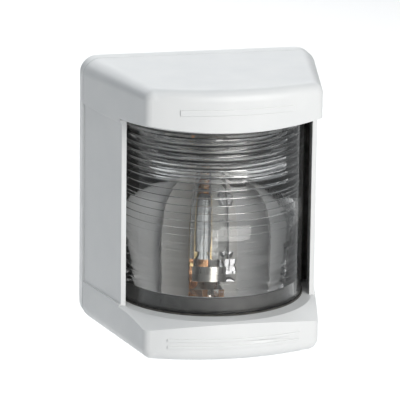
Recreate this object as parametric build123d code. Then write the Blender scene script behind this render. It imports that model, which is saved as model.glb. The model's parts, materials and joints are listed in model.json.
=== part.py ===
from build123d import *

import math
import os

# A boat's stern navigation light for a bulkhead. A white housing with a top cap and a bottom cap
# holds a half-round clear lens with ribs inside, and slides onto a back plate that is screwed to
# the boat. A festoon bulb stands upright on the lens's axis, between two sprung contacts.
#
# Frame, in millimetres: the origin is the centre of the mounting face, X is the light's width,
# -Y points away from the bulkhead, out of the lens, and Z is up. Every depth below is a Y value,
# so it is negative in front of the bulkhead.

os.makedirs("parts", exist_ok=True)

# Outer form
HEIGHT = 78.0
WIDTH = 68.8
PLATE_FRONT = -4.85
CAP_CORNER = -46.5
CAP_CORNER_WIDTH = 50.5
FRONT_BULGE = 5.75
REAR_CORNER_RADIUS = 5.0
TIP_CORNER_RADIUS = 2.6
TIP = -60.0
FRONT_FILLET = 3.3

# Housing
PARTING_GAP = 0.2
EDGE_BREAK = 0.25
CAP_WALL = 2.0
PANEL_RECESS = 0.45
PANEL_WALL = 1.4
PANEL_TOP = 25.8
PANEL_BOTTOM = -27.2
PANEL_FRONT = -30.0
WINDOW_TOP = 26.7
WINDOW_BOTTOM = -27.5
SHELF_BACK = -13.0
TOP_HOLLOW_FLOOR = 30.0
BOTTOM_HOLLOW_CEILING = -31.2
FLARE_AXIS = -22.5
FLARE_START_RADIUS = 28.6
LEDGE_SLOPE = 0.45
LIP_SLOPE = 0.35
TONGUE_INSET = 1.5
TONGUE_WALL = 0.7
TONGUE_BACK = -4.15
BAR_HEIGHT = 0.25
# Each bar's half length, the height of its middle, and its width
BARS = [(16.5, 33.0, 1.6), (19.5, -32.6, 0.8), (19.5, -34.6, 0.8)]

# Back plate
FLOOR = -3.0
RIM_WALL = 1.3
SPIGOT_INSET = 2.9
SPIGOT_WALL = 1.3
SPIGOT_FRONT = -7.5
GASKET_THICKNESS = 1.0
GASKET_INSET = 3.0
GASKET_WIDTH = 5.5
SLOT_SPACING = 42.0
SLOT_LENGTH = 7.0
SLOT_RADIUS = 2.1
CABLE_X = 15.0
CABLE_Z = -24.0
CABLE_RADIUS = 2.6
GROMMET_RADIUS = 4.6

# Lens
LENS_AXIS = -19.0
LENS_RADIUS = 26.65
LENS_WALL = 2.1
LENS_TOP = 26.2
LENS_BOTTOM = -27.0
LENS_CENTRE = 0.75
BAND_HEIGHT = 2.0
RIB_PITCH = 2.2
RIB_COUNT = 10
LENS_INDEX = 1.58
PRISM_STRENGTH = 0.82
CREST_FLAT = 0.12
FLANGE_FRONT = -15.0
FLANGE_HALF_WIDTH = 29.2
SEAL_LIP_LOW = 4.2
SEAL_LIP_HIGH = 1.8
SEAL_LIP_WALL = 0.9
SIDE_SEAL_FRONT = -17.2
FRAME_BACK = -11.4
FRAME_OPENING_WIDTH = 38.6
FRAME_OPENING_TOP = 25.5
FRAME_OPENING_BOTTOM = -25.6
FRAME_SCREW_X = 18.0
FRAME_SCREW_TOP = 28.4
FRAME_SCREW_BOTTOM = -29.5

# Screw that holds the housing on, standing in the bottom cap
COVER_SCREW_Y = -20.0
COVER_SCREW_RADIUS = 2.0
COVER_HEAD_RADIUS = 3.5
COVER_RECESS_RADIUS = 4.0
RECESS_CEILING = -36.4
CLAMP_BOSS_TOP = -35.2
LUG_BOTTOM = -35.1
LUG_TOP = -33.1
INSERT_BOTTOM = -33.0
INSERT_TOP = -29.0
INSERT_RADIUS = 2.9
SHAFT_CLEARANCE = 0.05

# Lampholder, contacts and terminals, about the bulb's middle
BASE_BACK = -5.0
BASE_FRONT = -7.5
BASE_WIDTH = 22.0
BASE_HEIGHT = 47.2
ARM_WIDTH = 10.0
ARM_FRONT = -23.5
ARM_INNER = 22.0
STRIP = 0.5
STRIP_WIDTH = 6.0
LEAF_INNER = 19.35
LEAF_FRONT = -22.6
LEAF_GAP = 0.15
LEG_END = 5.0
TERMINAL_OFFSET = 9.0
TERMINAL_RADIUS = 1.5
CLAMP_SIDE = 6.4
CLAMP_WALL = 0.8

# Festoon bulb
BULB_AXIS = LENS_AXIS
GLASS_RADIUS = 5.5
GLASS_WALL = 0.5
GLASS_HALF = 11.5
NECK_RADIUS = 3.75
NECK_END = 16.0
CAP_RADIUS = 4.7
CAP_SHELL = 0.4
CAP_OPEN_END = 12.6
CONE_START = 17.2
CONE_END = 19.2
NIPPLE_RADIUS = 1.5
BULB_HALF = 20.5
FILAMENT_HALF = 7.5

FRONT_RADIUS = ((CAP_CORNER_WIDTH / 2) ** 2 + FRONT_BULGE**2) / (2 * FRONT_BULGE)
FRONT_CENTRE = CAP_CORNER - FRONT_BULGE + FRONT_RADIUS
SIDE_SLOPE = (WIDTH - CAP_CORNER_WIDTH) / 2 / (PLATE_FRONT - CAP_CORNER)
FAR = 200.0


def half_width(y):
    """Half the light's width at depth y: the sides taper towards the front."""
    return WIDTH / 2 - SIDE_SLOPE * (PLATE_FRONT - y)


def corner_radius(y):
    """Radius of the form's four long corners at depth y."""
    run = (PLATE_FRONT - y) / (PLATE_FRONT - TIP)
    return REAR_CORNER_RADIUS + run * (TIP_CORNER_RADIUS - REAR_CORNER_RADIUS)


def facing(y):
    """Plane at depth y whose local axes are X and Z and whose normal is -Y."""
    return Plane.XZ.offset(-y)


def section(y, inset=0.0):
    """Cross-section of the outer form at depth y, drawn in by inset."""
    width = 2 * (half_width(y) - inset)
    return facing(y) * RectangleRounded(width, HEIGHT - 2 * inset, corner_radius(y) - inset)


def outer_form(back, inset=0.0):
    """The tapering form from depth back to its bulging front, drawn in by inset."""
    taper = loft([section(back, inset), section(TIP, inset)], ruled=True)
    front = Pos(0, FRONT_CENTRE, 0) * Cylinder(FRONT_RADIUS - inset, FAR)
    return taper & front


def block(x0, x1, y0, y1, z0, z1):
    """Box between two corners, given in any order."""
    size = Box(abs(x1 - x0), abs(y1 - y0), abs(z1 - z0))
    return Pos((x0 + x1) / 2, (y0 + y1) / 2, (z0 + z1) / 2) * size


def post(x, y, z0, z1, radius):
    """Upright cylinder."""
    return Pos(x, y, (z0 + z1) / 2) * Cylinder(radius, abs(z1 - z0))


def rod(x, z, y0, y1, radius):
    """Cylinder along Y."""
    lying = Rot(90, 0, 0) * Cylinder(radius, abs(y1 - y0))
    return Pos(x, (y0 + y1) / 2, z) * lying


def plate_of(sketch, y0, y1):
    """A sketch in X and Z, made solid from depth y0 forward to depth y1."""
    return extrude(facing(y0) * sketch, amount=y0 - y1)


def ring_of(inset, wall, y0, y1):
    """Straight ring that follows the plate's outline, wall wide, drawn in by inset."""
    outer = RectangleRounded(WIDTH - 2 * inset, HEIGHT - 2 * inset, REAR_CORNER_RADIUS - inset)
    inner_inset = inset + wall
    inner_radius = max(REAR_CORNER_RADIUS - inner_inset, 0.6)
    inner = RectangleRounded(WIDTH - 2 * inner_inset, HEIGHT - 2 * inner_inset, inner_radius)
    return plate_of(outer - inner, y0, y1)


def turned(points, y, angle=360.0, start=0.0):
    """Solid of revolution about the upright axis at depth y, from (radius, z) points."""
    outline = make_face(Polyline([(radius, 0, z) for radius, z in points], close=True))
    solid = revolve(outline, Axis.Z, angle)
    return Pos(0, y, 0) * Rot(0, 0, start) * solid


def side_band(inset, y0, y1, z0, z1):
    """Everything between the two side faces drawn in by inset, as an upright prism."""
    corners = [
        (half_width(y0) - inset, y0),
        (half_width(y1) - inset, y1),
        (inset - half_width(y1), y1),
        (inset - half_width(y0), y0),
    ]
    outline = make_face(Polyline(corners, close=True))
    return extrude(Pos(0, 0, z0) * outline, amount=z1 - z0)


def both_sides(shape):
    """The shape and its mirror image across the middle plane."""
    return [shape, mirror(shape, Plane.YZ)]


def both_ends(shape):
    """The shape and its mirror image across the bulb's middle."""
    return [shape, mirror(shape, Plane.XY.offset(LENS_CENTRE))]


# ---------------------------------------------------------------- back plate


def make_back_plate():
    """Tray with a rim, an inner spigot, a slotted lug, a tongue and pads for the lampholder."""
    outline = RectangleRounded(WIDTH, HEIGHT, REAR_CORNER_RADIUS)
    plate = plate_of(outline, 0, PLATE_FRONT)
    plate = fillet(plate.edges().group_by(Axis.Y)[-1], 0.7)
    plate = chamfer(plate.edges().group_by(Axis.Y)[0], EDGE_BREAK)
    inner = RectangleRounded(
        WIDTH - 2 * RIM_WALL, HEIGHT - 2 * RIM_WALL, REAR_CORNER_RADIUS - RIM_WALL
    )
    plate -= plate_of(inner, FLOOR, PLATE_FRONT - 1)
    plate += ring_of(SPIGOT_INSET, SPIGOT_WALL, FLOOR + 0.5, SPIGOT_FRONT)
    plate -= ring_of(GASKET_INSET, GASKET_WIDTH, 0.5, -GASKET_THICKNESS)

    lug = block(-6.5, 6.5, FLOOR + 0.5, COVER_SCREW_Y - 5.5, LUG_BOTTOM, LUG_TOP)
    lug += block(-6.5, 6.5, FLOOR + 0.5, -12.0, LUG_TOP - 0.5, LUG_TOP + 1.5)
    lug -= post(0, COVER_SCREW_Y, LUG_BOTTOM - 1, LUG_TOP + 1, COVER_SCREW_RADIUS + 0.3)
    slot = COVER_SCREW_RADIUS + 0.3
    lug -= block(-slot, slot, COVER_SCREW_Y, COVER_SCREW_Y - 9, LUG_BOTTOM - 1, LUG_TOP + 1)
    plate += lug
    plate += block(-7.0, 7.0, FLOOR + 0.5, -13.5, 33.2, 35.2)

    for x in (-SLOT_SPACING / 2, SLOT_SPACING / 2):
        pad = SlotOverall(SLOT_LENGTH + 5.0, 2 * SLOT_RADIUS + 5.0)
        hole = SlotOverall(SLOT_LENGTH, 2 * SLOT_RADIUS)
        plate += plate_of(Pos(x, 0) * pad, FLOOR + 0.5, FLOOR - 1.0)
        plate -= plate_of(Pos(x, 0) * hole, 1.0, FLOOR - 2.0)

    for x, z in holder_screw_places():
        plate += rod(x, z, FLOOR + 0.5, BASE_BACK, 2.8)
        plate -= rod(x, z, BASE_BACK - 1, FLOOR + 1.5, 1.1)

    plate += rod(CABLE_X, CABLE_Z, FLOOR + 0.5, -4.2, GROMMET_RADIUS + 1.6)
    plate -= rod(CABLE_X, CABLE_Z, 1, -5, GROMMET_RADIUS - 0.8)
    return plate


def make_rear_gasket():
    """Foam ring in the plate's rear groove, flush with the mounting face."""
    return ring_of(GASKET_INSET, GASKET_WIDTH, 0, -GASKET_THICKNESS)


def make_cover_seal():
    """Rubber ring in the channel between the plate's rim and its spigot."""
    return ring_of(RIM_WALL, SPIGOT_INSET - RIM_WALL, FLOOR, TONGUE_BACK + 0.1)


def make_cable_grommet():
    """Rubber sleeve with a flange each side of the back plate's cable hole."""
    waist = GROMMET_RADIUS - 0.8
    points = [
        (CABLE_RADIUS, 0.0),
        (waist, 0.0),
        (waist, 4.2),
        (GROMMET_RADIUS, 4.2),
        (GROMMET_RADIUS, 5.0),
        (CABLE_RADIUS + 0.9, 8.2),
        (CABLE_RADIUS, 8.2),
    ]
    sleeve = turned(points, 0)
    return Pos(CABLE_X, 0, CABLE_Z) * Rot(90, 0, 0) * sleeve


# ------------------------------------------------------------------- housing


def flare(z, slope, up):
    """Wedge that opens the window's edge outward, coning away from the lens."""
    reach = 20.0
    rise = slope * reach if up else -slope * reach
    points = [
        (FLARE_START_RADIUS, z),
        (FLARE_START_RADIUS + reach, z + rise),
        (FLARE_START_RADIUS + reach, z),
    ]
    ahead = block(-FAR, FAR, PANEL_FRONT + 0.5, -FAR, -FAR, FAR)
    return turned(points, FLARE_AXIS) & ahead


def raised_bar(half_length, z, width):
    """Plain raised bar that follows the bulging front."""
    angle = math.degrees(half_length / FRONT_RADIUS)
    points = [
        (FRONT_RADIUS - 0.5, z - width / 2),
        (FRONT_RADIUS + BAR_HEIGHT, z - width / 2),
        (FRONT_RADIUS + BAR_HEIGHT, z + width / 2),
        (FRONT_RADIUS - 0.5, z + width / 2),
    ]
    return turned(points, FRONT_CENTRE, 2 * angle, -90 - angle)


def make_housing():
    """The white cover: two caps joined by recessed side panels, open at the back and the window."""
    back = PLATE_FRONT - PARTING_GAP
    full = back - EDGE_BREAK
    shell = outer_form(full)
    front_face = shell.faces().filter_by(GeomType.CYLINDER).sort_by(Axis.Y)[0]
    shell = fillet(front_face.edges(), FRONT_FILLET)
    shell += loft([section(back, EDGE_BREAK), section(full)], ruled=True)

    shell -= block(-FAR, FAR, PANEL_FRONT, -FAR, WINDOW_BOTTOM, WINDOW_TOP)
    shell -= flare(WINDOW_BOTTOM, LEDGE_SLOPE, False)
    shell -= flare(WINDOW_TOP, LIP_SLOPE, True)

    around = block(-FAR, FAR, 0, PANEL_FRONT - 1, PANEL_BOTTOM, PANEL_TOP)
    kept = side_band(PANEL_RECESS, 0, PANEL_FRONT - 1, PANEL_BOTTOM - 1, PANEL_TOP + 1)
    shell -= around - kept

    inside = outer_form(back + 1, CAP_WALL)
    shell -= inside & block(-FAR, FAR, 0, SHELF_BACK, -FAR, FAR)
    shell -= inside & block(-FAR, FAR, 0, -FAR, TOP_HOLLOW_FLOOR, FAR)
    shell -= inside & block(-FAR, FAR, 0, -FAR, BOTTOM_HOLLOW_CEILING, -FAR)
    wall_inset = PANEL_RECESS + PANEL_WALL
    shell -= side_band(wall_inset, 0, PANEL_FRONT - 1, WINDOW_BOTTOM, WINDOW_TOP)

    shell += ring_of(TONGUE_INSET, TONGUE_WALL, TONGUE_BACK, back - 0.6)
    shell += make_cover_screw_bosses()
    recess = post(0, COVER_SCREW_Y, -FAR, RECESS_CEILING, COVER_RECESS_RADIUS)
    shell -= recess
    shell -= post(0, COVER_SCREW_Y, -FAR, CLAMP_BOSS_TOP + 0.05, COVER_SCREW_RADIUS + 0.3)
    shell -= post(0, COVER_SCREW_Y, INSERT_BOTTOM - 0.05, INSERT_TOP, INSERT_RADIUS)

    rib = block(-11, 11, -9.5, -11.0, TOP_HOLLOW_FLOOR + 0.8, HEIGHT / 2 - 1)
    rib -= block(-7.3, 7.3, -8.0, -12.0, 32.9, 35.5)
    shell += rib

    for x, z in frame_screw_places():
        shell -= rod(x, z, SHELF_BACK + 1, SHELF_BACK - 7, 0.8)

    for half_length, z, width in BARS:
        shell += raised_bar(half_length, z, width)
    return shell


def make_cover_screw_bosses():
    """Thick floor round the screw's recess, and the boss above the lug that holds the insert."""
    floor = post(0, COVER_SCREW_Y, -HEIGHT / 2 + 1, CLAMP_BOSS_TOP, COVER_RECESS_RADIUS + 1.8)
    insert = post(0, COVER_SCREW_Y, INSERT_BOTTOM, BOTTOM_HOLLOW_CEILING + 0.5, 5.0)
    return [floor, insert]


def make_cover_screw():
    """Pan-head screw with a cross recess, its head downward in the bottom cap."""
    head_top = RECESS_CEILING - 0.5
    points = [
        (0, head_top - 2.0),
        (COVER_HEAD_RADIUS - 1.1, head_top - 2.0),
        (COVER_HEAD_RADIUS - 0.3, head_top - 1.5),
        (COVER_HEAD_RADIUS, head_top - 0.8),
        (COVER_HEAD_RADIUS, head_top),
        (COVER_SCREW_RADIUS, head_top),
        (COVER_SCREW_RADIUS, INSERT_TOP - 0.9),
        (COVER_SCREW_RADIUS - 0.5, INSERT_TOP - 0.4),
        (0, INSERT_TOP - 0.4),
    ]
    screw = turned(points, COVER_SCREW_Y)
    y = COVER_SCREW_Y
    screw -= block(-2.2, 2.2, y - 0.45, y + 0.45, head_top - 3, head_top - 1.0)
    screw -= block(-0.45, 0.45, y - 2.2, y + 2.2, head_top - 3, head_top - 1.0)
    return screw


def make_cover_screw_washer():
    """Sealing washer between the screw's head and the recess."""
    washer = post(0, COVER_SCREW_Y, RECESS_CEILING - 0.5, RECESS_CEILING, COVER_HEAD_RADIUS + 0.2)
    hole = COVER_SCREW_RADIUS + SHAFT_CLEARANCE
    return washer - post(0, COVER_SCREW_Y, -FAR, FAR, hole)


def make_cover_screw_insert():
    """Brass insert that the screw turns in, with grooves round its outside."""
    insert = post(0, COVER_SCREW_Y, INSERT_BOTTOM, INSERT_TOP, INSERT_RADIUS)
    insert -= post(0, COVER_SCREW_Y, -FAR, FAR, COVER_SCREW_RADIUS + SHAFT_CLEARANCE)
    for z in (INSERT_BOTTOM + 1.2, INSERT_TOP - 1.2):
        ring = post(0, COVER_SCREW_Y, z - 0.3, z + 0.3, INSERT_RADIUS + 1)
        insert -= ring - post(0, COVER_SCREW_Y, -FAR, FAR, INSERT_RADIUS - 0.35)
    return insert


# ---------------------------------------------------------------------- lens


def half_round(radius, back, z0, z1):
    """Half-round prism about the lens's axis, with straight legs back to depth back."""
    nose = post(0, LENS_AXIS, z0, z1, radius) & block(-FAR, FAR, LENS_AXIS, -FAR, z0, z1)
    return nose + block(-radius, radius, LENS_AXIS, back, z0, z1)


def prism_depth(height):
    """Depth of the prism at that height above the lens's centre.

    At full strength its face would turn the filament's light level.
    """
    angle = math.atan2(height, LENS_RADIUS - LENS_WALL)
    slope = math.sin(angle) / (LENS_INDEX - math.cos(angle))
    return PRISM_STRENGTH * RIB_PITCH * slope


def rib_profile():
    """Inner face of the lens as (radius, z) points: a plain band between rows of prisms."""
    inner = LENS_RADIUS - LENS_WALL
    upper = []
    for index in range(RIB_COUNT):
        foot = BAND_HEIGHT / 2 + index * RIB_PITCH
        crest = inner - prism_depth(foot + RIB_PITCH / 2)
        upper += [(inner, foot), (crest, foot), (crest, foot + CREST_FLAT)]
    upper.append((inner, BAND_HEIGHT / 2 + RIB_COUNT * RIB_PITCH))
    lower = [(radius, -z) for radius, z in reversed(upper)]
    return [(radius, LENS_CENTRE + z) for radius, z in lower + upper]


def make_lens():
    """Clear half-round lens with flat flanges at its back corners and prisms inside."""
    inner = LENS_RADIUS - LENS_WALL
    points = [(inner, LENS_BOTTOM), *rib_profile(), (inner, LENS_TOP)]
    points += [(LENS_RADIUS, LENS_TOP), (LENS_RADIUS, LENS_BOTTOM)]
    lens = turned(points, LENS_AXIS, 180.0, 180.0)
    leg = block(inner, LENS_RADIUS, LENS_AXIS, SHELF_BACK, LENS_BOTTOM, LENS_TOP)
    flange = block(
        inner, FLANGE_HALF_WIDTH, FLANGE_FRONT, SHELF_BACK, LENS_BOTTOM, LENS_TOP
    )
    lens += both_sides(leg + flange)
    return lens


def make_lens_seal(face, edge, lip_end):
    """Rubber channel over one end of the lens: face is the shelf's side, edge the lens's."""
    inner = LENS_RADIUS - LENS_WALL
    low, high = sorted((face, edge))
    seal = half_round(LENS_RADIUS + 0.3, SHELF_BACK, low, high)
    lip_low, lip_high = sorted((face, lip_end))
    seal += half_round(inner - 0.1, SHELF_BACK, lip_low, lip_high)
    core = inner - 0.1 - SEAL_LIP_WALL
    return seal - half_round(core, SHELF_BACK + 1, -FAR, FAR)


def make_lens_side_seals():
    """Ribbed rubber strips that fill the slots between the lens's legs and the side panels."""
    reach = 0.1
    inset = PANEL_RECESS + PANEL_WALL + reach
    z0, z1 = LENS_BOTTOM + 0.3, LENS_TOP - 0.3
    strip = side_band(inset, FLANGE_FRONT, SIDE_SEAL_FRONT, z0, z1)
    strip &= block(LENS_RADIUS + 0.05, FAR, 0, -FAR, -FAR, FAR)
    for x in (LENS_RADIUS + 0.75, LENS_RADIUS + 1.85):
        strip -= block(x, x + 0.45, SIDE_SEAL_FRONT + 0.5, -FAR, -FAR, FAR)
    return both_sides(strip)


def make_lens_frame():
    """Black frame behind the lens's flanges, screwed to the housing's two shelves."""
    inset = PANEL_RECESS + PANEL_WALL + 0.4
    frame = side_band(inset, FRAME_BACK, SHELF_BACK, FRAME_SCREW_BOTTOM - 1.6, FRAME_SCREW_TOP + 1.6)
    half = FRAME_OPENING_WIDTH / 2
    frame -= block(-half, half, 0, -FAR, FRAME_OPENING_BOTTOM, FRAME_OPENING_TOP)
    for x, z in frame_screw_places():
        frame -= rod(x, z, 0, -FAR, 1.2)
    return frame


def frame_screw_places():
    """Places of the lens frame's four screws."""
    heights = (FRAME_SCREW_BOTTOM, FRAME_SCREW_TOP)
    return [(x, z) for x in (-FRAME_SCREW_X, FRAME_SCREW_X) for z in heights]


def small_screw(x, z, seat, length, shank, head):
    """Small pan-head screw along Y: its head stands behind depth seat, its shank runs forward."""
    screw = rod(x, z, seat + 1.1, seat, head)
    screw = chamfer(screw.edges().group_by(Axis.Y)[-1], 0.35)
    screw += rod(x, z, seat + 0.3, seat - length, shank)
    screw -= block(x - 0.3, x + 0.3, seat + 2, seat + 0.6, z - head, z + head)
    return screw


def make_lens_frame_screws():
    """Four self-tapping screws that hold the lens frame."""
    return [small_screw(x, z, FRAME_BACK, 5.4, 0.8, 1.5) for x, z in frame_screw_places()]


# ----------------------------------------------------- lampholder and contacts


def holder_screw_places():
    """Places of the lampholder's two screws."""
    return [(-8.2, LENS_CENTRE + 13.0), (8.2, LENS_CENTRE - 13.0)]


def make_lampholder():
    """Insulating base with two arms that reach to the bulb's axis."""
    half = BASE_HEIGHT / 2
    z0, z1 = LENS_CENTRE - half, LENS_CENTRE + half
    base = block(-BASE_WIDTH / 2, BASE_WIDTH / 2, BASE_BACK, BASE_FRONT, z0, z1)
    base = fillet(base.edges().filter_by(Axis.Y), 2.5)
    arm = block(
        -ARM_WIDTH / 2, ARM_WIDTH / 2, BASE_BACK, ARM_FRONT, LENS_CENTRE + ARM_INNER, z1
    )
    arm = fillet(arm.edges().filter_by(Axis.Z).group_by(Axis.Y)[0], 3.0)
    base += both_ends(arm)
    for x, z in holder_screw_places():
        base -= rod(x, z, 0, -FAR, 1.5)
    for z in terminal_heights():
        base -= rod(0, z, 0, -FAR, TERMINAL_RADIUS + SHAFT_CLEARANCE)
    for z in rivet_heights():
        base -= rod(0, z, 0, BASE_FRONT - 1, 1.0)
    return base


def terminal_heights():
    """Heights of the two terminal screws."""
    return [LENS_CENTRE + TERMINAL_OFFSET, LENS_CENTRE - TERMINAL_OFFSET]


def rivet_heights():
    """Heights of the two rivets, near the contacts' bends."""
    return [LENS_CENTRE + 15.5, LENS_CENTRE - 15.5]


def make_upper_contact():
    """Fixed leg of a contact: a strip on the base with holes for its rivet and its terminal."""
    top = LENS_CENTRE + LEAF_INNER
    half = STRIP_WIDTH / 2
    leg = block(-half, half, BASE_FRONT, BASE_FRONT - STRIP, LENS_CENTRE + LEG_END, top)
    leg -= rod(0, rivet_heights()[0], 0, -FAR, 1.0)
    leg -= rod(0, terminal_heights()[0], 0, -FAR, TERMINAL_RADIUS + SHAFT_CLEARANCE)
    return leg


def make_upper_leaf():
    """Sprung leaf of a contact, with an open slot for the bulb's tip and a lifted end."""
    half = STRIP_WIDTH / 2
    low = LENS_CENTRE + LEAF_INNER + LEAF_GAP
    leaf = block(-half, half, BASE_FRONT - 0.1, LEAF_FRONT, low, low + STRIP)
    lift = Pos(0, LEAF_FRONT, low) * Rot(-25, 0, 0)
    leaf += lift * block(-half, half, 0.2, -2.0, 0, STRIP)
    slot = NIPPLE_RADIUS + 0.12
    leaf -= post(0, BULB_AXIS, -FAR, FAR, slot)
    leaf -= block(-slot, slot, BULB_AXIS, -FAR, -FAR, FAR)
    return leaf


def make_contact_rivets():
    """Two hollow rivets that fix the contacts to the base."""
    rivets = []
    for z in rivet_heights():
        rivet = rod(0, z, BASE_BACK + 0.6, BASE_FRONT - STRIP - 0.5, 0.95)
        rivet += rod(0, z, BASE_FRONT - STRIP, BASE_FRONT - STRIP - 0.6, 1.7)
        rivet += rod(0, z, BASE_BACK, BASE_BACK + 0.6, 1.7)
        rivets.append(rivet)
    return rivets


def make_terminal_nuts():
    """Two hexagonal nuts behind the base, for the terminal screws."""
    nuts = []
    for z in terminal_heights():
        outline = RegularPolygon(2.75, 6, major_radius=False)
        outline -= Circle(TERMINAL_RADIUS + SHAFT_CLEARANCE)
        nuts.append(plate_of(Pos(0, z) * outline, BASE_BACK + 1.6, BASE_BACK))
    return nuts


def make_terminal_clamp(z):
    """Square clamp washer with turned-down sides that keep the wire in."""
    back = BASE_FRONT - STRIP
    half = CLAMP_SIDE / 2
    clamp = block(-half, half, back - 0.6, back - 0.6 - CLAMP_WALL, z - half, z + half)
    edge = block(-half, 0.6 - half, back, back - 0.7, z - half, z + half)
    clamp += both_sides(edge)
    return clamp - rod(0, z, 0, -FAR, TERMINAL_RADIUS + SHAFT_CLEARANCE)


def make_terminal_screw(z):
    """Terminal screw along Y, with a slotted cheese head."""
    seat = BASE_FRONT - STRIP - 0.6 - CLAMP_WALL
    head = rod(0, z, seat, seat - 1.7, 2.7)
    head = chamfer(head.edges().group_by(Axis.Y)[0], 0.3)
    head -= block(-0.4, 0.4, seat - 3, seat - 0.8, z - 3, z + 3)
    return head + rod(0, z, seat - 0.2, BASE_BACK + 1.7, TERMINAL_RADIUS)


def make_holder_screws():
    """Two self-tapping screws that hold the lampholder to the back plate, heads in front."""
    screws = []
    for x, z in holder_screw_places():
        screw = rod(x, z, BASE_FRONT, BASE_FRONT - 1.4, 2.4)
        screw = chamfer(screw.edges().group_by(Axis.Y)[0], 0.4)
        screw -= block(x - 1.4, x + 1.4, -FAR, BASE_FRONT - 0.7, z - 0.3, z + 0.3)
        screw -= block(x - 0.3, x + 0.3, -FAR, BASE_FRONT - 0.7, z - 1.4, z + 1.4)
        screw += rod(x, z, BASE_FRONT - 0.2, FLOOR + 1.2, 1.1)
        screws.append(screw)
    return screws


# ---------------------------------------------------------------------- bulb


def about_middle(points):
    """Lifts (radius, z) points from the bulb's middle to its place."""
    return [(radius, LENS_CENTRE + z) for radius, z in points]


def make_bulb_glass():
    """Glass tube, drawn in to a neck at both ends."""
    outer = [(NECK_RADIUS, NECK_END), (NECK_RADIUS, GLASS_HALF + 1.6), (GLASS_RADIUS, GLASS_HALF)]
    inner = [(radius - GLASS_WALL, z) for radius, z in outer]
    half = outer + [(radius, -z) for radius, z in reversed(outer)]
    bore = inner + [(radius, -z) for radius, z in reversed(inner)]
    return turned(about_middle(half + bore[::-1]), BULB_AXIS)


def make_upper_bulb_cap():
    """Metal end cap: a sleeve over the neck, a cone and a small tip."""
    outer = [
        (CAP_RADIUS, CAP_OPEN_END + 0.8),
        (CAP_RADIUS, CONE_START),
        (NIPPLE_RADIUS, CONE_END),
        (NIPPLE_RADIUS, BULB_HALF - 0.3),
        (NIPPLE_RADIUS - 0.3, BULB_HALF),
        (0, BULB_HALF),
    ]
    inner = [
        (0, CONE_END - 0.6),
        (NIPPLE_RADIUS, CONE_END - 0.6),
        (CAP_RADIUS - CAP_SHELL, CONE_START - 0.4),
        (CAP_RADIUS - CAP_SHELL, CAP_OPEN_END + 0.8),
    ]
    return turned(about_middle(outer + inner), BULB_AXIS)


def make_filament():
    """Coiled wire on the bulb's axis, drawn as the slim rod that the coil fills."""
    low, high = LENS_CENTRE - FILAMENT_HALF, LENS_CENTRE + FILAMENT_HALF
    return post(0, BULB_AXIS, low, high, 0.45)


def make_lead_wires():
    """The two straight wires from the filament's ends into the caps."""
    wire = post(
        0, BULB_AXIS, LENS_CENTRE + FILAMENT_HALF, LENS_CENTRE + CONE_END - 0.6, 0.25
    )
    return both_ends(wire)


def as_list(shape):
    """The shape's solids, whether it is one shape or several."""
    parts = shape if isinstance(shape, (list, tuple)) else [shape]
    return [solid for part in parts for solid in part.solids()]


upper_contact = make_upper_contact()
upper_leaf = make_upper_leaf()
upper_cap = make_upper_bulb_cap()
upper_terminal, lower_terminal = terminal_heights()

NODES = {
    "back_plate": make_back_plate(),
    "rear_gasket": make_rear_gasket(),
    "cover_seal": make_cover_seal(),
    "cable_grommet": make_cable_grommet(),
    "housing": make_housing(),
    "cover_screw": make_cover_screw(),
    "cover_screw_washer": make_cover_screw_washer(),
    "cover_screw_insert": make_cover_screw_insert(),
    "lens": make_lens(),
    "lens_seal_upper": make_lens_seal(WINDOW_TOP, LENS_TOP, LENS_TOP - SEAL_LIP_HIGH),
    "lens_seal_lower": make_lens_seal(WINDOW_BOTTOM, LENS_BOTTOM, LENS_BOTTOM + SEAL_LIP_LOW),
    "lens_side_seals": make_lens_side_seals(),
    "lens_frame": make_lens_frame(),
    "lens_frame_screws": make_lens_frame_screws(),
    "lampholder": make_lampholder(),
    "holder_screws": make_holder_screws(),
    "upper_contact": upper_contact,
    "upper_contact_leaf": upper_leaf,
    "lower_contact": both_ends(upper_contact)[1],
    "lower_contact_leaf": both_ends(upper_leaf)[1],
    "contact_rivets": make_contact_rivets(),
    "terminal_nuts": make_terminal_nuts(),
    "upper_terminal_clamp": make_terminal_clamp(upper_terminal),
    "upper_terminal_screw": make_terminal_screw(upper_terminal),
    "lower_terminal_clamp": make_terminal_clamp(lower_terminal),
    "lower_terminal_screw": make_terminal_screw(lower_terminal),
    "bulb_glass": make_bulb_glass(),
    "bulb_cap_upper": upper_cap,
    "bulb_cap_lower": both_ends(upper_cap)[1],
    "bulb_filament": make_filament(),
    "bulb_lead_wires": make_lead_wires(),
}

for name, shape in NODES.items():
    export_step(Compound(children=as_list(shape)), f"parts/{name}.step")
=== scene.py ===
import json
import math

import bmesh
import bpy
from mathutils import Matrix, Vector


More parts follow.
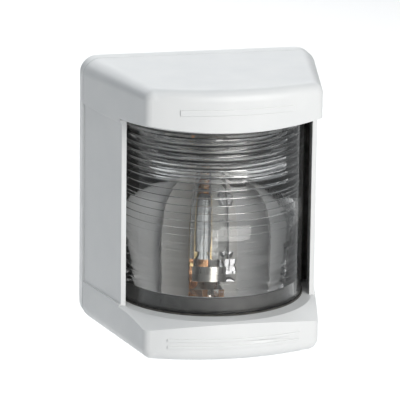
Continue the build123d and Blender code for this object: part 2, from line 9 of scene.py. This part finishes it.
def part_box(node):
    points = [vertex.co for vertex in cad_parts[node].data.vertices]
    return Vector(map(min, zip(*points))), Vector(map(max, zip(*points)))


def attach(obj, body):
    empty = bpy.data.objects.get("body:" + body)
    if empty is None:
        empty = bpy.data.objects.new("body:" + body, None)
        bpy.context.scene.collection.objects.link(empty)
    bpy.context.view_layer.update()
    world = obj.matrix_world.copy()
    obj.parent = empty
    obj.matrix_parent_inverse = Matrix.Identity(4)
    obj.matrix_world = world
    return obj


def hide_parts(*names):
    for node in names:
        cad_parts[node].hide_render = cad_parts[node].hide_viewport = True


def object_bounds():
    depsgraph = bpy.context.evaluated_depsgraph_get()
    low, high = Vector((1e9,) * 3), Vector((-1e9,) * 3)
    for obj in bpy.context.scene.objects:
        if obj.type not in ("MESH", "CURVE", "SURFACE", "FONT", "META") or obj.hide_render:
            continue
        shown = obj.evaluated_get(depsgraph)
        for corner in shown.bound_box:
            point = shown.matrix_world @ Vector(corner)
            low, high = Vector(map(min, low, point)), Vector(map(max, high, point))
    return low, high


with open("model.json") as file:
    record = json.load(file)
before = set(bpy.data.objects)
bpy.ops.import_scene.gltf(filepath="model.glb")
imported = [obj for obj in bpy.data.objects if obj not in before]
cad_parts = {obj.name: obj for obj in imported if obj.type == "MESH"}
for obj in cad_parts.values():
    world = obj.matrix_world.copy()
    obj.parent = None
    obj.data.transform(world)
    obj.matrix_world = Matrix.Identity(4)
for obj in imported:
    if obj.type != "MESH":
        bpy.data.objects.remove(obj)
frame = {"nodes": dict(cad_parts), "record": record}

CAD_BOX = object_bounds()
MM = 0.001

# Edges of the script's own meshes that turn more than this stay sharp
SHARP_ANGLE = math.radians(28.0)

# Camera: turned to the object's left, a little above it, with a long lens
CAMERA_AZIMUTH = math.radians(-14.0)
CAMERA_ELEVATION = math.radians(15.16)
CAMERA_DISTANCE = 988.7 * MM
CAMERA_ROLL = math.radians(0.79)
SENSOR_WIDTH = 36.0
LENS_LENGTH = 311.8
AIM_DEPTH = 24.4 * MM
AIM_RIGHT = -4.13 * MM
AIM_UP = 0.59 * MM

# Studio
FLOOR_DROP = 260.0 * MM
FLOOR_SIZE = 8.0
BACKDROP_DISTANCE = 1.25
SKY_STRENGTH = 0.2
WARM = (1.0, 0.985, 0.96)
COOL = (0.84, 0.93, 1.0)
SKY = (0.88, 0.95, 1.0, 1.0)

# Lens
LENS_RADIUS = 26.65 * MM
LENS_WALL = 2.1 * MM
LENS_CENTRE = 0.75 * MM
BAND_HEIGHT = 2.0 * MM
RIB_PITCH = 2.2 * MM
RIB_COUNT = 10
LENS_INDEX = 1.58
PRISM_STRENGTH = 0.82
CREST_RADIUS = 0.2 * MM
CREST_STEPS = 6
FLANGE_THICKNESS = 2.0 * MM
LENS_STEPS = 192

# Bulb
GLASS_RADIUS = 5.5 * MM
GLASS_WALL = 0.5 * MM
NECK_RADIUS = 3.75 * MM
SHOULDER_HEIGHT = 11.0 * MM
SHOULDER_LENGTH = 2.6 * MM
SHOULDER_STEPS = 12
TURN_STEPS = 96
COIL_TURNS = 26
COIL_STEPS = 12
COIL_SAG = 0.5 * MM
COIL_RADIUS = 0.4 * MM
COIL_WIRE = 0.11 * MM


# ------------------------------------------------------------------ materials


class Surface:
    """A node material built round one Principled shader."""

    def __init__(self, name):
        self.material = bpy.data.materials.new(name)
        self.material.use_nodes = True
        self.tree = self.material.node_tree
        self.tree.nodes.clear()
        self.output = self.node("ShaderNodeOutputMaterial")
        self.shader = self.node("ShaderNodeBsdfPrincipled")
        self.link(self.shader.outputs["BSDF"], self.output.inputs["Surface"])
        self.place = self.node("ShaderNodeTexCoord").outputs["Object"]

    def node(self, kind, **settings):
        made = self.tree.nodes.new(kind)
        for key, value in settings.items():
            setattr(made, key, value)
        return made

    def link(self, start, end):
        self.tree.links.new(start, end)

    def set(self, **values):
        for key, value in values.items():
            self.shader.inputs[key.replace("_", " ")].default_value = value

    def noise(self, size, detail=2.0):
        """Noise whose features are about size metres across."""
        noise = self.node("ShaderNodeTexNoise")
        noise.inputs["Scale"].default_value = 1.0 / size
        noise.inputs["Detail"].default_value = detail
        self.link(self.place, noise.inputs["Vector"])
        return noise.outputs["Fac"]

    def ramp(self, source, stops):
        """Colour ramp through (position, colour) stops."""
        ramp = self.node("ShaderNodeValToRGB")
        elements = ramp.color_ramp.elements
        while len(elements) < len(stops):
            elements.new(0.5)
        for element, (position, colour) in zip(elements, stops):
            element.position = position
            element.color = (*colour, 1.0)
        self.link(source, ramp.inputs["Fac"])
        return ramp.outputs["Color"]

    def spread(self, source, low, high):
        """Maps noise to a range."""
        spread = self.node("ShaderNodeMapRange")
        spread.inputs["From Min"].default_value = 0.3
        spread.inputs["From Max"].default_value = 0.7
        spread.inputs["To Min"].default_value = low
        spread.inputs["To Max"].default_value = high
        self.link(source, spread.inputs["Value"])
        return spread.outputs["Result"]

    def mix(self, factor, first, second):
        """Blends two colours, or two colour sockets, by a factor socket."""
        mix = self.node("ShaderNodeMix", data_type="RGBA")
        self.link(factor, mix.inputs["Factor"])
        for socket, value in ((mix.inputs["A"], first), (mix.inputs["B"], second)):
            if isinstance(value, tuple):
                socket.default_value = (*value, 1.0)
            else:
                self.link(value, socket)
        return mix.outputs["Result"]

    def bump(self, source, height, after=None):
        """Relief of that height in metres, on top of an earlier relief."""
        bump = self.node("ShaderNodeBump")
        bump.inputs["Strength"].default_value = 1.0
        bump.inputs["Distance"].default_value = height
        self.link(source, bump.inputs["Height"])
        if after is not None:
            self.link(after, bump.inputs["Normal"])
        return bump.outputs["Normal"]

    def soft_edge(self, radius):
        """Normal that rounds every edge by that radius."""
        bevel = self.node("ShaderNodeBevel", samples=6)
        bevel.inputs["Radius"].default_value = radius
        return bevel.outputs["Normal"]

    def edge_mask(self, radius):
        """1 near an edge and 0 on a flat or gently curved surface."""
        geometry = self.node("ShaderNodeNewGeometry")
        dot = self.node("ShaderNodeVectorMath", operation="DOT_PRODUCT")
        self.link(self.soft_edge(radius), dot.inputs[0])
        self.link(geometry.outputs["Normal"], dot.inputs[1])
        mask = self.node("ShaderNodeMapRange")
        mask.inputs["From Min"].default_value = 0.99
        mask.inputs["From Max"].default_value = 0.90
        self.link(dot.outputs["Value"], mask.inputs["Value"])
        return mask.outputs["Result"]


def white_plastic():
    """Moulded white plastic: a satin skin with a faint flow pattern and edges painted lighter as a
    highlight.
    """
    surface = Surface("white_plastic")
    surface.set(IOR=1.5)
    tone = surface.ramp(
        surface.noise(14 * MM, 3.0), [(0.3, (0.80, 0.81, 0.815)), (0.7, (0.845, 0.85, 0.85))]
    )
    # Lighter colour near every edge: a painted highlight along the edges
    colour = surface.mix(surface.edge_mask(0.35 * MM), tone, (0.88, 0.885, 0.885))
    surface.link(colour, surface.shader.inputs["Base Color"])
    rough = surface.spread(surface.noise(5 * MM, 4.0), 0.30, 0.40)
    surface.link(rough, surface.shader.inputs["Roughness"])
    relief = surface.bump(surface.noise(0.35 * MM), 0.012 * MM, surface.soft_edge(0.2 * MM))
    relief = surface.bump(surface.noise(9 * MM, 1.0), 0.05 * MM, relief)
    surface.link(relief, surface.shader.inputs["Normal"])
    return surface.material


def dark_soft(name, colour, grain, roughness):
    """Rubber, foam or grained black plastic."""
    surface = Surface(name)
    surface.set(Specular_IOR_Level=0.3)
    lighter = tuple(min(1.0, c * 1.8 + 0.01) for c in colour)
    tone = surface.ramp(surface.noise(2.5 * MM, 3.0), [(0.35, colour), (0.7, lighter)])
    surface.link(tone, surface.shader.inputs["Base Color"])
    rough = surface.spread(surface.noise(1.2 * MM), roughness - 0.08, roughness + 0.08)
    surface.link(rough, surface.shader.inputs["Roughness"])
    relief = surface.bump(surface.noise(grain, 3.0), grain * 0.2, surface.soft_edge(0.1 * MM))
    surface.link(relief, surface.shader.inputs["Normal"])
    return surface.material


def holder_plastic():
    """Heat-resistant moulding of the lampholder."""
    surface = Surface("holder_plastic")
    tone = surface.ramp(
        surface.noise(6 * MM, 3.0), [(0.3, (0.76, 0.75, 0.72)), (0.7, (0.82, 0.81, 0.78))]
    )
    surface.link(tone, surface.shader.inputs["Base Color"])
    surface.link(
        surface.spread(surface.noise(1.5 * MM), 0.42, 0.55), surface.shader.inputs["Roughness"]
    )
    relief = surface.bump(surface.noise(0.3 * MM), 0.02 * MM, surface.soft_edge(0.2 * MM))
    surface.link(relief, surface.shader.inputs["Normal"])
    return surface.material


def metal(name, bright, dull, roughness):
    """Metal with duller patches, a fine grain and bright edges."""
    surface = Surface(name)
    surface.set(Metallic=1.0)
    patches = surface.ramp(surface.noise(2.0 * MM, 4.0), [(0.35, dull), (0.65, bright)])
    edge = tuple(min(1.0, c * 1.12) for c in bright)
    colour = surface.mix(surface.edge_mask(0.15 * MM), patches, edge)
    surface.link(colour, surface.shader.inputs["Base Color"])
    rough = surface.spread(surface.noise(0.6 * MM, 3.0), roughness - 0.06, roughness + 0.08)
    surface.link(rough, surface.shader.inputs["Roughness"])
    relief = surface.bump(surface.noise(0.3 * MM), 0.004 * MM, surface.soft_edge(0.08 * MM))
    surface.link(relief, surface.shader.inputs["Normal"])
    return surface.material


def clear(name, colour, ior, roughness, ripple):
    """Clear glass or plastic with a slight ripple and a trace of haze."""
    surface = Surface(name)
    surface.set(Transmission_Weight=1.0, IOR=ior)
    tone = surface.ramp(
        surface.noise(20 * MM), [(0.3, colour), (0.7, tuple(min(1.0, c * 1.02) for c in colour))]
    )
    surface.link(tone, surface.shader.inputs["Base Color"])
    haze = surface.spread(surface.noise(3 * MM, 3.0), roughness * 0.6, roughness * 1.6)
    surface.link(haze, surface.shader.inputs["Roughness"])
    surface.link(
        surface.bump(surface.noise(4 * MM, 2.0), ripple), surface.shader.inputs["Normal"]
    )
    return surface.material


def make_materials():
    """One material for each slot of the record."""
    return {
        "white_plastic": white_plastic(),
        "lens_clear": clear("lens_clear", (0.992, 0.995, 0.995), 1.58, 0.02, 0.012 * MM),
        "black_rubber": dark_soft("black_rubber", (0.045, 0.044, 0.040), 0.25 * MM, 0.62),
        "black_foam": dark_soft("black_foam", (0.035, 0.035, 0.036), 0.6 * MM, 0.9),
        "holder_plastic": holder_plastic(),
        "contact_bronze": metal("contact_bronze", (0.80, 0.46, 0.25), (0.45, 0.22, 0.12), 0.30),
        "brass": metal("brass", (0.86, 0.66, 0.34), (0.62, 0.45, 0.22), 0.30),
        "stainless": metal("stainless", (0.50, 0.50, 0.51), (0.38, 0.38, 0.39), 0.38),
        "bulb_glass": clear("bulb_glass", (0.90, 0.91, 0.91), 1.5, 0.01, 0.004 * MM),
        "bulb_metal": metal("bulb_metal", (0.60, 0.58, 0.54), (0.40, 0.38, 0.35), 0.30),
        "tungsten": metal("tungsten", (0.34, 0.34, 0.36), (0.22, 0.22, 0.23), 0.35),
    }


# -------------------------------------------------------------------- meshes


def mesh_object(name, mesh, body, slot, materials):
    """Finishes a mesh piece: outward normals, smooth shading, sharp edges, material and body."""
    obj = bpy.data.objects.new(name, mesh)
    bpy.context.scene.collection.objects.link(obj)
    work = bmesh.new()
    work.from_mesh(mesh)
    bmesh.ops.recalc_face_normals(work, faces=work.faces)
    work.to_mesh(mesh)
    work.free()
    mesh.shade_smooth()
    mesh.set_sharp_from_angle(angle=SHARP_ANGLE)
    mesh.materials.append(materials[slot])
    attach(obj, body)
    return obj


def ring_faces(rings, closed):
    """Quads between rings of vertex numbers; closed joins the last ring to the first."""
    faces = []
    count = len(rings[0])
    last = len(rings) if closed else len(rings) - 1
    for index in range(last):
        here, there = rings[index], rings[(index + 1) % len(rings)]
        for step in range(count):
            following = (step + 1) % count
            faces.append((here[step], there[step], there[following], here[following]))
    return faces


def turned_mesh(name, profile, centre):
    """Mesh of revolution about the upright line through centre, from a closed (radius, z) profile."""
    points, rings = [], []
    for step in range(TURN_STEPS):
        angle = 2 * math.pi * step / TURN_STEPS
        rings.append(range(len(points), len(points) + len(profile)))
        across, along = math.cos(angle), math.sin(angle)
        for radius, z in profile:
            points.append((centre[0] + radius * across, centre[1] + radius * along, z))
    mesh = bpy.data.meshes.new(name)
    mesh.from_pydata(points, [], ring_faces(rings, True))
    return mesh


def prism_depth(height):
    """Depth of the prism at that height above the band, so that it turns the lamp's light level."""
    angle = math.atan2(height, LENS_RADIUS - LENS_WALL)
    slope = math.sin(angle) / (LENS_INDEX - math.cos(angle))
    return PRISM_STRENGTH * RIB_PITCH * slope


def rib_outline(foot):
    """(radius, z) points of one rib: a level riser, a rounded crest, then a slope to the next rib."""
    inner = LENS_RADIUS - LENS_WALL
    depth = prism_depth(foot + RIB_PITCH / 2)
    last_turn = math.pi / 2 + math.atan2(depth, RIB_PITCH)
    points = [(inner, LENS_CENTRE + foot)]
    for step in range(CREST_STEPS + 1):
        turn = last_turn * step / CREST_STEPS
        radius = inner - depth + CREST_RADIUS * (1 - math.sin(turn))
        points.append((radius, LENS_CENTRE + foot + CREST_RADIUS * (1 - math.cos(turn))))
    return points


def lens_profile(low, high, outer):
    """Closed (radius, z) outline of the lens wall out to a radius, with its prisms inside."""
    inner = LENS_RADIUS - LENS_WALL
    upper = []
    for index in range(RIB_COUNT):
        upper += rib_outline(BAND_HEIGHT / 2 + index * RIB_PITCH)
    upper.append((inner, LENS_CENTRE + BAND_HEIGHT / 2 + RIB_COUNT * RIB_PITCH))
    lower = [(radius, 2 * LENS_CENTRE - z) for radius, z in reversed(upper)]
    return [(inner, low), *lower, *upper, (inner, high), (outer, high), (outer, low)]


def make_lens(materials):
    """The clear lens: a half-round wall with straight legs, and a flat flange on each leg."""
    low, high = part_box("lens")
    axis = low.y + LENS_RADIUS
    flange_front = high.y - FLANGE_THICKNESS
    leg = [(high.y, high.x), (flange_front, high.x), (flange_front, LENS_RADIUS)]
    stations = [(0.0, y, outer) for y, outer in leg]
    for step in range(LENS_STEPS + 1):
        stations.append((math.pi * step / LENS_STEPS, axis, LENS_RADIUS))
    stations += [(math.pi, y, outer) for y, outer in reversed(leg)]
    points, rings = [], []
    for angle, y, outer in stations:
        profile = lens_profile(low.z, high.z, outer)
        rings.append(range(len(points), len(points) + len(profile)))
        for radius, z in profile:
            points.append((-math.cos(angle) * radius, y - math.sin(angle) * radius, z))
    faces = ring_faces(rings, False)
    faces.append(tuple(rings[0]))
    faces.append(tuple(reversed(rings[-1])))
    mesh = bpy.data.meshes.new("clear_lens")
    mesh.from_pydata(points, [], faces)
    lens = mesh_object("clear_lens", mesh, "cover", "lens_clear", materials)
    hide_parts("lens")


def make_bulb_glass(materials):
    """The bulb's glass tube, drawn in smoothly to a neck at each end."""
    low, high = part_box("bulb_glass")
    centre = ((low.x + high.x) / 2, (low.y + high.y) / 2)
    middle = (low.z + high.z) / 2
    half = (high.z - low.z) / 2
    outer = [(NECK_RADIUS, half)]
    for step in range(SHOULDER_STEPS + 1):
        run = step / SHOULDER_STEPS
        share = (1 - math.cos(math.pi * run)) / 2
        radius = NECK_RADIUS + (GLASS_RADIUS - NECK_RADIUS) * share
        outer.append((radius, SHOULDER_HEIGHT + SHOULDER_LENGTH * (1 - run)))
    outer = [(radius, middle + z) for radius, z in outer]
    whole = outer + [(radius, 2 * middle - z) for radius, z in reversed(outer)]
    bore = [(radius - GLASS_WALL, z) for radius, z in reversed(whole)]
    mesh = turned_mesh("bulb_tube", whole + bore, centre)
    tube = mesh_object("bulb_tube", mesh, "bulb", "bulb_glass", materials)
    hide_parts("bulb_glass")


def make_filament(materials):
    """The filament: a close coil of tungsten wire along the bulb's axis."""
    low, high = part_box("bulb_filament")
    centre = (low + high) / 2
    curve = bpy.data.curves.new("filament_coil", "CURVE")
    curve.dimensions = "3D"
    curve.bevel_depth = COIL_WIRE
    curve.bevel_resolution = 2
    steps = COIL_TURNS * COIL_STEPS
    spline = curve.splines.new("POLY")
    spline.points.add(steps)
    for index, point in enumerate(spline.points):
        turn = 2 * math.pi * index / COIL_STEPS
        share = index / steps
        sag = COIL_SAG * math.sin(math.pi * share)
        point.co = (
            centre.x + COIL_RADIUS * math.cos(turn),
            centre.y - sag + COIL_RADIUS * math.sin(turn),
            low.z + share * (high.z - low.z),
            1.0,
        )
    coil = bpy.data.objects.new("filament_coil", curve)
    bpy.context.scene.collection.objects.link(coil)
    curve.materials.append(materials["tungsten"])
    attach(coil, "bulb")
    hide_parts("bulb_filament")


def dress_nodes(materials):
    """Gives every CAD node the material of its slot."""
    slots = {part["node"]: part["material_slot"] for part in frame["record"]["subparts"]}
    for name, node in frame["nodes"].items():
        node.data.materials.clear()
        node.data.materials.append(materials[slots[name]])


# -------------------------------------------------------------------- studio


def plain_material(name, colour, roughness):
    """Studio surface with a trace of variation."""
    surface = Surface(name)
    surface.set(Roughness=roughness)
    tone = surface.ramp(
        surface.noise(0.4), [(0.3, colour), (0.7, tuple(min(1.0, c * 1.01) for c in colour))]
    )
    surface.link(tone, surface.shader.inputs["Base Color"])
    return surface.material


def softbox(name, direction, distance, size, power, aim, colour=(1.0, 1.0, 1.0)):
    """Square area light that shines on aim from a direction."""
    data = bpy.data.lights.new(name, "AREA")
    data.size = size
    data.energy = power
    data.color = colour
    light = bpy.data.objects.new(name, data)
    bpy.context.scene.collection.objects.link(light)
    away = Vector(direction).normalized()
    light.location = aim + away * distance
    light.rotation_euler = away.to_track_quat("Z", "Y").to_euler()


def make_studio():
    """Pale floor well below the object, soft lights and an even sky."""
    low, high = CAD_BOX
    middle = (Vector(low) + Vector(high)) / 2
    mesh = bpy.data.meshes.new("floor")
    reach = FLOOR_SIZE / 2
    z = low[2] - FLOOR_DROP
    corners = [(-reach, -reach, z), (reach, -reach, z), (reach, reach, z), (-reach, reach, z)]
    mesh.from_pydata(corners, [], [(0, 1, 2, 3)])
    floor = bpy.data.objects.new("floor", mesh)
    bpy.context.scene.collection.objects.link(floor)
    mesh.materials.append(plain_material("studio_floor", (0.95, 0.95, 0.95), 0.8))

    behind = Vector((0.0, BACKDROP_DISTANCE, z))
    softbox("key", (0.36, -1.0, 0.5), 1.4, 1.1, 16.2, middle, WARM)
    softbox("top", (-0.1, 0.1, 1.0), 1.2, 1.2, 2.6, middle, COOL)
    softbox("backdrop", (0.0, 0.0, 1.0), 0.8, 1.6, 15.0, behind)

    world = bpy.data.worlds.new("sky")
    world.use_nodes = True
    world.node_tree.nodes["Background"].inputs["Color"].default_value = SKY
    world.node_tree.nodes["Background"].inputs["Strength"].default_value = SKY_STRENGTH
    bpy.context.scene.world = world
    bpy.context.scene.view_settings.view_transform = "Standard"


def make_camera():
    """Camera at the viewing angle, aimed a little beside the object's middle."""
    low, high = CAD_BOX
    back = Vector(
        (
            math.sin(CAMERA_AZIMUTH) * math.cos(CAMERA_ELEVATION),
            -math.cos(CAMERA_AZIMUTH) * math.cos(CAMERA_ELEVATION),
            math.sin(CAMERA_ELEVATION),
        )
    )
    right = Vector((0, 0, 1)).cross(back).normalized()
    up = back.cross(right)
    rolled_right = right * math.cos(CAMERA_ROLL) + up * math.sin(CAMERA_ROLL)
    rolled_up = up * math.cos(CAMERA_ROLL) - right * math.sin(CAMERA_ROLL)
    middle = Vector(((low[0] + high[0]) / 2, -AIM_DEPTH, (low[2] + high[2]) / 2))
    place = middle + back * CAMERA_DISTANCE
    aim = middle + rolled_right * AIM_RIGHT + rolled_up * AIM_UP
    away = (place - aim).normalized()
    side = rolled_up.cross(away).normalized()
    data = bpy.data.cameras.new("camera")
    data.sensor_width = SENSOR_WIDTH
    data.lens = LENS_LENGTH
    data.clip_end = 20.0
    camera = bpy.data.objects.new("camera", data)
    bpy.context.scene.collection.objects.link(camera)
    turn = Matrix((side, away.cross(side), away)).transposed()
    camera.matrix_world = Matrix.Translation(place) @ turn.to_4x4()
    bpy.context.scene.camera = camera


make_studio()
make_camera()
materials = make_materials()
dress_nodes(materials)
make_lens(materials)
make_bulb_glass(materials)
make_filament(materials)
